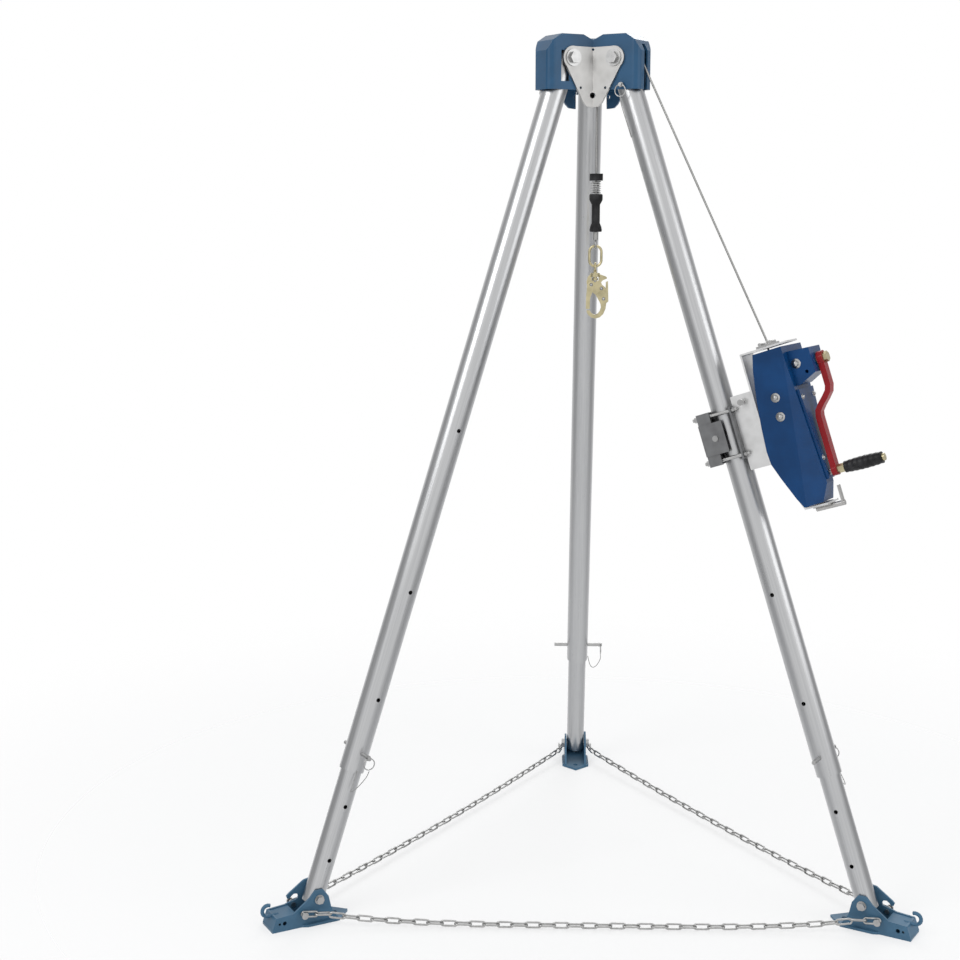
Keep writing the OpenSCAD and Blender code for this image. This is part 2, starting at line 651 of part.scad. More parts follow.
// toothed wheel drawn in the plane, tooth 0 along +X
module gear_2d(teeth) {
  pr = teeth * module_g / 2;
  circle(r = pr - 1.25 * module_g);
  for (k = [0:teeth - 1]) rotate(360 * k / teeth)
    polygon([[pr - 1.6 * module_g, -1.0 * module_g], [pr - 1.2 * module_g, -1.0 * module_g], [pr, -0.64 * module_g], [pr + 0.85 * module_g, -0.25 * module_g],
      [pr + 0.85 * module_g, 0.25 * module_g], [pr, 0.64 * module_g], [pr - 1.2 * module_g, 1.0 * module_g], [pr - 1.6 * module_g, 1.0 * module_g]]);
}

module drum_gear() color(steel) on_leg(2) translate([180, 0, -drum_s]) rotate([0, 90, 0]) rotate(180) difference() {
  linear_extrude(8) gear_2d(gear_teeth);
  translate([0, 0, -1]) cylinder(r = 8 + run_gap, h = 20);
}

module crank_shaft() color(steel) on_leg(2) translate([0, 0, -crank_s]) {
  xbar(10, 189, 249);
  xbar(7, 179, 190);
  translate([180, 0, 0]) rotate([0, 90, 0]) rotate(180 / pinion_teeth) linear_extrude(8) gear_2d(pinion_teeth);
}

// crank arm's middle line: an S bend between the boss and the grip end, with its two edges
function arm_u(r) = min(max((r - 62) / 56, 0), 1);
function arm_edge(r, off) = let(u = arm_u(r), m = -40 * 6 * u * (1 - u) / 56, k = off / sqrt(1 + m * m))
  [255.7 - 40 * u * u * (3 - 2 * u) + k, -r + k * m];

module crank_arm() color([0.64, 0.12, 0.17]) on_leg(2) translate([0, 0, -crank_s]) difference() {
  union() {
    yplate(-11, 11) polygon(concat([for (k = [0:20]) arm_edge(k * crank_r / 20, -6.4)],
      [for (k = [20:-1:0]) arm_edge(k * crank_r / 20, 6.4)]));
    xbar(16, 249.3, 262);
    translate([0, 0, -crank_r]) xbar(13, 209, 222);
  }
  translate([0, 0, -crank_r]) xbar(5.1, 200, 230);
}

module crank_fittings() color([0.79, 0.74, 0.52]) on_leg(2) translate([0, 0, -crank_s]) {
  translate([262.2, 0, 0]) rotate([0, 90, 0]) cylinder(r = 12, h = 9, $fn = 6);
  translate([0, 0, -crank_r]) {
    xbar(5, 208, 330);
    translate([222.2, 0, 0]) rotate([0, 90, 0]) cylinder(r = 10, h = 16, $fn = 6);
    xbar(8, 326, 331);
  }
}

module grip() color([0.05, 0.05, 0.05]) on_leg(2) translate([0, 0, -crank_s - crank_r]) rotate([0, 90, 0]) rotate_extrude()
  polygon(concat([[5 + run_gap, 239]], [for (k = [0:14]) [13 + 2 * sin(180 * k / 14) - (k % 2 == 0 ? 0 : 0.9), 239 + 86 * k / 14]], [[5 + run_gap, 325]]));

head_casing();
front_plate();
side_plates();
pivot_bolts();
sheave_axle();
outer_sheave();
inner_sheave();
head_pin_rear();
head_pin_left();
head_pin_right();
upper_tube_rear();
upper_tube_left();
upper_tube_right();
lower_tube_rear();
lower_tube_left();
lower_tube_right();
leg_pin_rear();
leg_pin_left();
leg_pin_right();
lanyard_rear();
lanyard_left();
lanyard_right();
foot_rear();
foot_left();
foot_right();
foot_bolts_rear();
foot_bolts_left();
foot_bolts_right();
chain_rear();
chain_left();
chain_right();
rope_run();
rope_over();
rope_hang();
block_collar();
block_spring();
block_bumper();
rope_eye();
hook_link();
hook_body();
hook_gate();
leg_clamp();
clamp_rods();
mount_bracket();
winch_frame();
winch_housing();
winch_cover();
crank_boss();
rope_guide();
stow_clip();
drum_shaft();
drum();
drum_gear();
rope_winding();
crank_shaft();
crank_arm();
crank_fittings();
grip();
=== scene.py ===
"""Dresses the rescue tripod: wire rope, chains, fasteners, finishes, and a studio stage."""
import json
import math
import bpy
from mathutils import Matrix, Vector


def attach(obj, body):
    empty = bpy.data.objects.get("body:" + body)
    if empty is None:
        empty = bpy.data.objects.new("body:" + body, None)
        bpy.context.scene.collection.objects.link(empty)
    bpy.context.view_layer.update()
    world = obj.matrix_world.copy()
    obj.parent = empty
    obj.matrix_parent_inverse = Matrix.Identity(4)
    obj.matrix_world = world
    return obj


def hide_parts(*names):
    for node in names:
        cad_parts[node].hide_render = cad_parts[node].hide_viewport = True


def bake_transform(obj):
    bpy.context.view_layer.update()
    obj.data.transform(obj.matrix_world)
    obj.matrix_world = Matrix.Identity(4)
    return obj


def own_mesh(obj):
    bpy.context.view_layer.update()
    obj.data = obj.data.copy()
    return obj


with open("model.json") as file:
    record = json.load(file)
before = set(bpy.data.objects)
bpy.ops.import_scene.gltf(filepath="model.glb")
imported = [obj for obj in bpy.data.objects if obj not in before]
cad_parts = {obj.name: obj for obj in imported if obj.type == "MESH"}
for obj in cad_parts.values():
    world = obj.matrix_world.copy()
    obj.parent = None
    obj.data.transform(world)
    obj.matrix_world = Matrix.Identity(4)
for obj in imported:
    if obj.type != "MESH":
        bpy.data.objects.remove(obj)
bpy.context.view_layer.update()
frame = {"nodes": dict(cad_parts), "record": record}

bl_info = {
    "name": "Rescue tripod dressing",
    "version": (1, 0, 0),
    "blender": (4, 5, 0),
    "location": "3D View > Sidebar > Tripod",
    "description": "Rope, chains, fasteners, finishes and stage for a rescue tripod",
    "category": "Object",
}

LEGS = ("rear", "left", "right")
AZIMUTH = [math.radians(a) for a in (90, 210, 330)]
LEAN = math.radians(19)  # each leg's lean from upright
AXIS_Y = -0.199727  # where the tripod's upright axis stands
PIVOT_R, PIVOT_Z = 0.076, 1.932963  # a leg's pivot, out from the axis and above the floor
FOOT_R = 0.721602  # a foot's pivot, out from the axis
BLOCK = Vector((0.014 * math.cos(AZIMUTH[2]), AXIS_Y + 0.014 * math.sin(AZIMUTH[2]), 0))
RING_SIDE = (-1, 1, 1)  # the side of each leg that its pin's ring is on
SHEAVE, INNER_SHEAVE = 0.042, 0.014  # radius of the rope's line on each sheave
INNER_R, INNER_Z = 0.028, -0.046  # inner sheave's place in the head, out from the axis and below the pivots
ROPE_GUIDE = Vector((0.145, 0, -0.709))  # lead-in of the winch, in the right leg's frame
DRUM_TOP = (0.152, -0.046, -0.838)  # where the rope meets the drum, in the right leg's frame
HANG_FOOT = 1.6773  # height at which the hanging rope enters the block
LINK_INSIDE = 0.0072  # clear width inside a chain link
CHAIN_OUT, CHAIN_Z = 0.041, 0.033  # chain bolt's place in a foot
BOLT_SEAT = 0.0033  # from the chain bolt's middle to the line of the link round it
TAIL_LINKS = 2  # links nearest the foot, made apart from the span; an even number keeps the quarter turns in step
CHAIN_SEAT = 0.0242 + 0.0062 + 0.008 + 0.0004  # from a foot's middle to the near side of its chain


def radial(i, r, t, z):
    """Point in a leg's upright radial plane: r outward, t tangential, z up."""
    c, s = math.cos(AZIMUTH[i]), math.sin(AZIMUTH[i])
    return Vector((r * c - t * s, AXIS_Y + r * s + t * c, z))


def on_leg(i, n, t, z):
    """Point in a leg's own frame: n outward from the tube, t tangential, z up along the tube."""
    c, s = math.cos(LEAN), math.sin(LEAN)
    return radial(i, PIVOT_R + n * c - z * s, t, PIVOT_Z + n * s + z * c)


def leg_axis(i, n, t, z):
    return on_leg(i, n, t, z) - on_leg(i, 0, 0, 0)


class Finish:
    """A material's node tree, built from expressions."""

    def __init__(self, name, color, roughness, metallic=0.0, coat=0.0):
        self.mat = bpy.data.materials.new(name)
        self.mat.use_nodes = True
        self.nodes = self.mat.node_tree.nodes
        self.links = self.mat.node_tree.links
        self.shader = self.nodes["Principled BSDF"]
        self.put("Base Color", (*color, 1))
        self.put("Roughness", roughness)
        self.put("Metallic", metallic)
        self.put("Coat Weight", coat)
        self.put("Coat Roughness", 0.12)
        self.mat.diffuse_color = (*color, 1)

    def node(self, kind, settings=None, **sockets):
        made = self.nodes.new(kind)
        for key, value in (settings or {}).items():
            setattr(made, key, value)
        for key, value in sockets.items():
            slot = made.inputs[int(key[1:])] if key[1:].isdigit() else made.inputs[key.replace("_", " ")]
            if isinstance(value, Wire):
                self.links.new(value.socket, slot)
            else:
                slot.default_value = value
        return made

    def wire(self, kind, out, settings=None, **sockets):
        return Wire(self, self.node(kind, settings, **sockets).outputs[out])

    def put(self, name, value):
        if isinstance(value, Wire):
            self.links.new(value.socket, self.shader.inputs[name])
        else:
            self.shader.inputs[name].default_value = value

    def place(self):
        return self.wire("ShaderNodeTexCoord", "Object")

    def noise(self, where, scale, detail=3.0, rough=0.5):
        return self.wire("ShaderNodeTexNoise", 0, None,
                         Vector=where, Scale=scale, Detail=detail, Roughness=rough)

    def band(self, value, low, high):
        return self.wire("ShaderNodeMapRange", 0, {"interpolation_type": "SMOOTHSTEP"},
                         i0=value, i1=low, i2=high)

    def blend(self, mask, a, b):
        a = a if isinstance(a, Wire) else (*a, 1)
        b = b if isinstance(b, Wire) else (*b, 1)
        return self.wire("ShaderNodeMix", 2, {"data_type": "RGBA"}, i0=mask, i6=a, i7=b)

    def bump(self, height, strength, distance):
        raised = self.wire("ShaderNodeBump", 0, None, Height=height, Strength=strength, Distance=distance)
        self.put("Normal", raised)


class Wire:
    """A socket that takes arithmetic."""

    def __init__(self, finish, socket):
        self.finish = finish
        self.socket = socket

    def math(self, op, a, b):
        return self.finish.wire("ShaderNodeMath", 0, {"operation": op}, i0=a, i1=b)

    def __add__(self, o):
        return self.math("ADD", self, o)

    def __radd__(self, o):
        return self.math("ADD", o, self)

    def __sub__(self, o):
        return self.math("SUBTRACT", self, o)

    def __rsub__(self, o):
        return self.math("SUBTRACT", o, self)

    def __mul__(self, o):
        return self.math("MULTIPLY", self, o)

    def __rmul__(self, o):
        return self.math("MULTIPLY", o, self)


def enamel(name, color, dark, coat, gloss=0.3):
    """Baked enamel: slight orange peel, handling scuffs and a dusty lower tone."""
    f = Finish(name, color, 0.34, 0.0, coat)
    f.put("Specular IOR Level", gloss)
    where = f.place()
    cloud = f.noise(where, 14.0, 4.0)
    fine = f.noise(where, 420.0, 2.0)
    scuff = f.band(f.noise(where, 95.0, 6.0, 0.7), 0.66, 0.74)
    tone = f.blend(f.band(cloud, 0.3, 0.7), dark, color)
    f.put("Base Color", f.blend(scuff * 0.35, tone, [min(1, c * 1.6 + 0.06) for c in color]))
    f.put("Roughness", cloud * 0.14 + 0.27 + scuff * 0.2)
    f.bump(fine, 0.12, 0.0006)
    return f.mat


def drawn_tube(name, i):
    """Satin aluminium with draw lines that run along one leg."""
    f = Finish(name, (0.42, 0.425, 0.43), 0.34, 1.0)
    where = f.place()

    def along(v):
        return f.wire("ShaderNodeVectorMath", 1, {"operation": "DOT_PRODUCT"}, i0=where, i1=tuple(v))

    n, t, s = (along(leg_axis(i, *v)) for v in ((1, 0, 0), (0, 1, 0), (0, 0, 1)))
    grain = f.wire("ShaderNodeCombineXYZ", 0, None, X=n * 1.0, Y=t * 1.0, Z=s * 0.006)
    lines = f.noise(grain, 620.0, 3.0, 0.6)
    broad = f.noise(grain, 90.0, 2.0)
    smear = f.noise(where, 9.0, 4.0)
    streak = f.band(lines * 0.7 + broad * 0.15 + 0.075, 0.25, 0.75)
    f.put("Base Color", f.blend(streak, (0.44, 0.445, 0.455), (0.56, 0.565, 0.57)))
    f.put("Roughness", lines * 0.14 + smear * 0.14 + 0.17)
    f.bump(lines, 0.10, 0.0004)
    return f.mat


def plated(name, light, dark, rough, spangle):
    """Zinc or passivated plate: faint crystal patches over fine brushing, with duller handled spots."""
    f = Finish(name, light, rough, 1.0)
    where = f.place()
    patch = f.wire("ShaderNodeTexVoronoi", "Distance", None, Vector=where, Scale=spangle)
    haze = f.noise(where, 34.0, 5.0)
    brush = f.noise(where, 700.0, 2.0)
    tint = f.band(patch * 0.35 + haze * 0.55 + brush * 0.25, 0.2, 0.9)
    f.put("Base Color", f.blend(tint, dark, light))
    f.put("Roughness", haze * 0.16 + brush * 0.08 + rough - 0.08)
    f.bump(brush, 0.05, 0.0004)
    return f.mat


def moulded(name, color, pebble, rough):
    """Rubber or moulded plastic with a fine pebble and worn sheen."""
    f = Finish(name, color, rough)
    f.put("Specular IOR Level", 0.25)
    where = f.place()
    grain = f.noise(where, pebble, 3.0)
    rub = f.noise(where, 40.0, 4.0)
    f.put("Base Color", f.blend(f.band(rub, 0.4, 0.7), color, [c * 1.7 + 0.012 for c in color]))
    f.put("Roughness", grain * 0.2 + rough - 0.1)
    f.bump(grain, 0.25, 0.0006)
    return f.mat


FINISHES = {}

SPECIAL = {
    "leg_clamp": "clamp_grey", "mount_bracket": "bright_plate", "winch_frame": "bright_plate",
    # the feet take a lighter copy of the head enamel: painted floor light, not a paint of their own
    "foot_rear": "foot_blue_painted_floor_light", "foot_left": "foot_blue_painted_floor_light", "foot_right": "foot_blue_painted_floor_light",
}

LAMPS = (
    ("key", (-2.6, -2.8, 3.4), 48, 2.0),
    ("fill", (3.2, -2.0, 2.2), 24, 2.2),
    ("rim", (0.8, 3.0, 3.2), 30, 1.6),
)


def node_tree(name, inputs):
    tree = bpy.data.node_groups.new(name, "GeometryNodeTree")
    tree.interface.new_socket("Geometry", in_out="INPUT", socket_type="NodeSocketGeometry")
    for label, kind in inputs:
        tree.interface.new_socket(label, in_out="INPUT", socket_type=kind)
    tree.interface.new_socket("Geometry", in_out="OUTPUT", socket_type="NodeSocketGeometry")
    source = tree.nodes.new("NodeGroupInput")

    def add(kind, settings=None, **sockets):
        made = tree.nodes.new(kind)
        for key, value in (settings or {}).items():
            setattr(made, key, value)
        for key, value in sockets.items():
            slot = made.inputs[int(key[1:])] if key[1:].isdigit() else made.inputs[key.replace("_", " ")]
            if hasattr(value, "is_output"):
                tree.links.new(value, slot)
            else:
                slot.default_value = value
        return made

    def close(geometry):
        real = add("GeometryNodeRealizeInstances", None, Geometry=geometry)
        dressed = add("GeometryNodeSetMaterial", None,
                      Geometry=real.outputs[0], Material=source.outputs["Finish"])
        smooth = add("GeometryNodeSetShadeSmooth", None, Geometry=dressed.outputs[0])
        tree.links.new(smooth.outputs[0], tree.nodes.new("NodeGroupOutput").inputs[0])
        return tree

    return add, source.outputs, close


def rope_tree():
    """Six strands laid round a line."""
    add, given, close = node_tree("Laid wire", [
        ("Radius", "NodeSocketFloat"), ("Lay", "NodeSocketFloat"), ("Finish", "NodeSocketMaterial")])
    step = add("ShaderNodeMath", {"operation": "DIVIDE"}, i0=given["Lay"], i1=10.0)
    fine = add("GeometryNodeResampleCurve", {"mode": "LENGTH"},
               Curve=given["Geometry"], Length=step.outputs[0])
    run = add("GeometryNodeSplineParameter")
    turns = add("ShaderNodeMath", {"operation": "DIVIDE"}, i0=run.outputs["Length"], i1=given["Lay"])
    turn = add("ShaderNodeMath", {"operation": "MULTIPLY"}, i0=turns.outputs[0], i1=2 * math.pi)
    laid = add("GeometryNodeSetCurveTilt", None, Curve=fine.outputs[0], Tilt=turn.outputs[0])
    inner = add("ShaderNodeMath", {"operation": "MULTIPLY"}, i0=given["Radius"], i1=0.8)
    strands = add("GeometryNodeCurveStar", None,
                  Points=6, Inner_Radius=inner.outputs[0], Outer_Radius=given["Radius"])
    tube = add("GeometryNodeCurveToMesh", None, Curve=laid.outputs[0], Profile_Curve=strands.outputs[0])
    tube.inputs["Fill Caps"].default_value = True
    return close(tube.outputs[0])


def chain_tree():
    """Long links on the points of a line, each a quarter turn from the last."""
    add, given, close = node_tree("Chain", [
        ("Pitch", "NodeSocketFloat"), ("Wire", "NodeSocketFloat"), ("Finish", "NodeSocketMaterial")])
    outer = add("ShaderNodeMath", {"operation": "ADD"}, i0=given["Pitch"], i1=given["Wire"])
    width = add("ShaderNodeMath", {"operation": "ADD"}, i0=given["Wire"], i1=LINK_INSIDE)
    half = add("ShaderNodeMath", {"operation": "MULTIPLY"}, i0=width.outputs[0], i1=0.4999)
    loop = add("GeometryNodeCurvePrimitiveQuadrilateral", None,
               Width=outer.outputs[0], Height=width.outputs[0])
    bent = add("GeometryNodeFilletCurve", None, Curve=loop.outputs[0], Radius=half.outputs[0])
    for slot in bent.inputs:
        if slot.name == "Mode":
            slot.default_value = "Poly"
        if slot.name == "Count":
            slot.default_value = 5
    if hasattr(bent, "mode"):
        bent.mode = "POLY"
    thick = add("ShaderNodeMath", {"operation": "MULTIPLY"}, i0=given["Wire"], i1=0.5)
    section = add("GeometryNodeCurvePrimitiveCircle", None, Resolution=10, Radius=thick.outputs[0])
    link = add("GeometryNodeCurveToMesh", None, Curve=bent.outputs[0], Profile_Curve=section.outputs[0])
    points = add("GeometryNodeCurveToPoints", {"mode": "EVALUATED"}, Curve=given["Geometry"])
    aim = add("FunctionNodeAlignRotationToVector", {"axis": "X"}, Vector=points.outputs["Tangent"])
    count = add("GeometryNodeInputIndex")
    after = add("ShaderNodeMath", {"operation": "ADD"}, i0=count.outputs[0], i1=1.0)
    odd = add("ShaderNodeMath", {"operation": "MODULO"}, i0=after.outputs[0], i1=2.0)
    quarter = add("ShaderNodeMath", {"operation": "MULTIPLY"}, i0=odd.outputs[0], i1=math.pi / 2)
    roll = add("ShaderNodeCombineXYZ", None, X=quarter.outputs[0])
    turn = add("FunctionNodeEulerToRotation", None, Euler=roll.outputs[0])
    face = add("FunctionNodeRotateRotation", {"rotation_space": "LOCAL"},
               Rotation=aim.outputs[0], Rotate_By=turn.outputs[0])
    links = add("GeometryNodeInstanceOnPoints", None,
                Points=points.outputs[0], Instance=link.outputs[0], Rotation=face.outputs[0])
    return close(links.outputs[0])


def fastener_tree():
    """A head and its washer on each seat, turned the way the seat faces."""
    add, given, close = node_tree("Fasteners", [
        ("Radius", "NodeSocketFloat"), ("Height", "NodeSocketFloat"),
        ("Sides", "NodeSocketInt"), ("Finish", "NodeSocketMaterial")])
    head = add("GeometryNodeMeshCone", None,
               Vertices=given["Sides"], Radius_Bottom=given["Radius"], Depth=given["Height"])
    top = add("ShaderNodeMath", {"operation": "MULTIPLY"}, i0=given["Radius"], i1=0.82)
    for slot in head.inputs:
        if slot.name == "Radius Top":
            head.id_data.links.new(top.outputs[0], slot)
    flange = add("ShaderNodeMath", {"operation": "MULTIPLY"}, i0=given["Radius"], i1=1.45)
    low = add("ShaderNodeMath", {"operation": "MULTIPLY"}, i0=given["Height"], i1=0.28)
    washer = add("GeometryNodeMeshCylinder", None,
                 Vertices=24, Radius=flange.outputs[0], Depth=low.outputs[0])
    both = add("GeometryNodeJoinGeometry")
    for made in (head, washer):
        both.id_data.links.new(made.outputs["Mesh"], both.inputs[0])
    points = add("GeometryNodeMeshToPoints", None, Mesh=given["Geometry"])
    aim = add("GeometryNodeInputNamedAttribute", {"data_type": "FLOAT_VECTOR"}, Name="aim")
    turn = add("FunctionNodeAlignRotationToVector", {"axis": "Z"}, Vector=aim.outputs[0])
    heads = add("GeometryNodeInstanceOnPoints", None,
                Points=points.outputs[0], Instance=both.outputs[0], Rotation=turn.outputs[0])
    return close(heads.outputs[0])


def grow(name, tree, carrier, values):
    """Run a node tree on a carrier object and keep the result as a plain mesh."""
    bpy.context.scene.collection.objects.link(carrier)
    mod = carrier.modifiers.new("grow", "NODES")
    mod.node_group = tree
    for item in tree.interface.items_tree:
        if item.in_out == "INPUT" and item.name in values:
            mod[item.identifier] = values[item.name]
    bpy.context.view_layer.update()
    ready = carrier.evaluated_get(bpy.context.evaluated_depsgraph_get())
    mesh = bpy.data.meshes.new_from_object(ready)
    carrier.modifiers.clear()
    bpy.data.objects.remove(carrier)
    mesh.name = name
    piece = bpy.data.objects.new(name, mesh)
    bpy.context.scene.collection.objects.link(piece)
    return piece


def line(name, points):
    data = bpy.data.curves.new(name + "_line", "CURVE")
    data.dimensions = "3D"
    spline = data.splines.new("POLY")
    spline.points.add(len(points) - 1)
    for slot, p in zip(spline.points, points):
        slot.co = (*p, 1)
    return bpy.data.objects.new(name + "_line", data)


def seats(name, places):
    """Mesh of points, each with the direction its fastener faces."""
    mesh = bpy.data.meshes.new(name + "_seats")
    mesh.from_pydata([p for p, _ in places], [], [])
    aim = mesh.attributes.new("aim", "FLOAT_VECTOR", "POINT")
    for slot, (_, d) in zip(aim.data, places):
        slot.vector = d
    return bpy.data.objects.new(name + "_seats", mesh)


def smooth_path(points, steps):
    """Catmull-Rom curve through the points."""
    out = []
    for k in range(len(points) - 1):
        a, b, c, d = (points[min(max(j, 0), len(points) - 1)] for j in (k - 1, k, k + 1, k + 2))
        for m in range(steps):
            t = m / steps
            square, cube = 2 * a - 5 * b + 4 * c - d, 3 * b - a - 3 * c + d
            out.append(0.5 * (2 * b + (c - a) * t + square * t * t + cube * t ** 3))
    return out + [points[-1]]


def path_length(points):
    return sum((b - a).length for a, b in zip(points, points[1:]))


class TripodSizes(bpy.types.PropertyGroup):
    """Sizes that a user would change"""
    rope_radius: bpy.props.FloatProperty(
        name="Rope radius", description="Radius of the wire rope", default=0.0025, unit="LENGTH")
    rope_lay: bpy.props.FloatProperty(
        name="Rope lay", description="Length of one twist of the strands", default=0.034, unit="LENGTH")
    wire: bpy.props.FloatProperty(
        name="Chain wire", description="Chain wire diameter", default=0.0045, unit="LENGTH")
    pitch: bpy.props.FloatProperty(
        name="Chain pitch", description="Chain link pitch", default=0.032, unit="LENGTH")


class TripodColours(bpy.types.PropertyGroup):
    """Paint colours"""
    head_blue: bpy.props.FloatVectorProperty(
        name="Head blue", description="Head enamel",
        subtype="COLOR", size=3, default=(0.022, 0.092, 0.19))
    # a lighter copy of the head blue, painted to stand in for light bounced up from the floor
    foot_blue_painted_floor_light: bpy.props.FloatVectorProperty(
        name="Foot blue with painted floor light", description="Foot enamel, paler from the ground",
        subtype="COLOR", size=3, default=(0.066, 0.162, 0.262))
    winch_blue: bpy.props.FloatVectorProperty(
        name="Winch blue", description="Winch enamel",
        subtype="COLOR", size=3, default=(0.003, 0.052, 0.175))
    crank_red: bpy.props.FloatVectorProperty(
        name="Crank red", description="Crank enamel",
        subtype="COLOR", size=3, default=(0.31, 0.008, 0.013))


class TRIPOD_OT_finishes(bpy.types.Operator):
    """Make the finishes and dress the solid parts"""
    bl_idname = "tripod.finishes"
    bl_label = "Finishes"

    def execute(self, context):
        paint = context.scene.tripod_colours
        head, foot, winch, red = (
            tuple(c) for c in (paint.head_blue, paint.foot_blue_painted_floor_light, paint.winch_blue, paint.crank_red))
        FINISHES.update({
            "blue_paint": enamel("head enamel", head, [c * 0.78 for c in head], 0.05),
            # the foot enamel is the head enamel painted lighter, standing in for light from the floor
            "foot_blue_painted_floor_light": enamel("foot enamel with painted floor light", foot, [c * 0.8 for c in foot], 0.0),
            "winch_blue": enamel("winch enamel", winch, [c * 0.72 for c in winch], 0.08, 0.2),
            "red_paint": enamel("crank enamel", red, [c * 0.75 for c in red], 0.12, 0.2),
            "zinc_plate": plated("bright zinc", (0.52, 0.515, 0.505), (0.43, 0.425, 0.415), 0.42, 55.0),
            "bright_plate": plated("bright bracket", (0.80, 0.80, 0.80), (0.68, 0.68, 0.675), 0.34, 55.0),
            "steel": plated("plated steel", (0.50, 0.50, 0.495), (0.38, 0.38, 0.38), 0.28, 90.0),
            "clamp_grey": plated("cast clamp", (0.24, 0.245, 0.25), (0.17, 0.17, 0.175), 0.42, 60.0),
            "chain_zinc": plated("chain zinc", (0.48, 0.48, 0.475), (0.31, 0.31, 0.305), 0.28, 120.0),
            "rope_steel": plated("rope wire", (0.44, 0.44, 0.43), (0.28, 0.28, 0.275), 0.36, 300.0),
            "gold_plate": plated("pale gold plate", (0.60, 0.53, 0.33), (0.38, 0.34, 0.21), 0.26, 70.0),
            "sheave_metal": plated("turned sheave", (0.26, 0.25, 0.24), (0.17, 0.16, 0.16), 0.40, 80.0),
            "rubber": moulded("black rubber", (0.010, 0.010, 0.011), 500.0, 0.62),
            "grip_plastic": moulded("black grip", (0.008, 0.008, 0.009), 260.0, 0.42),
        })
        for i, name in enumerate(LEGS):
            FINISHES["tube_" + name] = drawn_tube("drawn tube " + name, i)
        for part in frame["record"]["subparts"]:
            node = frame["nodes"][part["node"]]
            slot = part["material_slot"]
            if slot == "tube_aluminium":
                slot = "tube_" + part["node"].rsplit("_", 1)[1]
            slot = SPECIAL.get(part["node"], slot)
            node.data.materials.clear()
            node.data.materials.append(FINISHES[slot])
        return {"FINISHED"}


class TRIPOD_OT_ropes(bpy.types.Operator):
    """Lay the wire rope from the winch over the sheaves to the hanging block"""
    bl_idname = "tripod.ropes"
    bl_label = "Wire rope"

    def execute(self, context):
        size = context.scene.tripod_sizes
        tree = rope_tree()
        values = {"Radius": size.rope_radius, "Lay": size.rope_lay, "Finish": FINISHES["rope_steel"]}
        phi = math.acos(SHEAVE / ROPE_GUIDE.length) + math.atan2(ROPE_GUIDE.z, ROPE_GUIDE.x)
        leave = on_leg(2, SHEAVE * math.cos(phi), 0, SHEAVE * math.sin(phi))
        run = [leave, on_leg(2, *ROPE_GUIDE), on_leg(2, *DRUM_TOP)]
        reach = Vector((INNER_R - PIVOT_R, INNER_Z))
        over = math.atan2(reach.y, reach.x) + 2 * math.pi - math.acos((SHEAVE - INNER_SHEAVE) / reach.length)
        first = phi + LEAN
        wrap = []
        for k in range(17):
            t = first + (over - first) * k / 16
            wrap.append(radial(2, PIVOT_R + SHEAVE * math.cos(t), 0, PIVOT_Z + SHEAVE * math.sin(t)))
        for k in range(7):
            t = over + (math.pi - over) * k / 6
            side, up = INNER_SHEAVE * math.cos(t), INNER_SHEAVE * math.sin(t)
            wrap.append(radial(2, INNER_R + side, 0, PIVOT_Z + INNER_Z + up))
        top = PIVOT_Z + INNER_Z - 0.0003
        drop = [BLOCK + Vector((0, 0, top + (HANG_FOOT - top) * k / 12)) for k in range(13)]
        for name, points, body in (
            ("rope_run", run, "upper_leg_right"),
            ("rope_over", wrap, "head"),
            ("rope_hang", drop, None),  # hangs straight from the head to the block
        ):
            piece = grow("laid_" + name, tree, line(name, points), values)
            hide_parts(name)
            if name == "rope_hang":
                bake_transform(piece)
            else:
                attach(piece, body)
            path_length(points)
        return {"FINISHED"}


class TRIPOD_OT_lanyards(bpy.types.Operator):
    """Hang the thin keeper wires of the pins"""
    bl_idname = "tripod.lanyards"
    bl_label = "Keeper wires"

    def execute(self, context):
        tree = rope_tree()
        values = {"Radius": 0.001, "Lay": 0.012, "Finish": FINISHES["rope_steel"]}
        low = ((-9.3, 65.1, -27.3), (-6, 64.6, -45), (4, 56.6, -72),
               (10, 45.6, -85), (6, 36.6, -72), (0, 29.8, -40))
        high = ((-9.3, -48.5, -91.3), (-12, -46, -112), (-15, -38, -148),
                (-18, -30.6, -168), (-23, -19.6, -178))
        for i, name in enumerate(LEGS):
            routes = [[on_leg(i, n / 1000, RING_SIDE[i] * t / 1000, (z - 1640) / 1000) for n, t, z in low]]
            if i:
                routes.append([on_leg(i, n / 1000, t / 1000, z / 1000) for n, t, z in high])
            for k, route in enumerate(routes):
                points = smooth_path(route, 6)
                piece = grow("keeper_wire_%s_%d" % (name, k), tree, line(name + str(k), points), values)
                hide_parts("lanyard_" + name)
                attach(piece, "upper_leg_" + name)
                path_length(points)
        return {"FINISHED"}


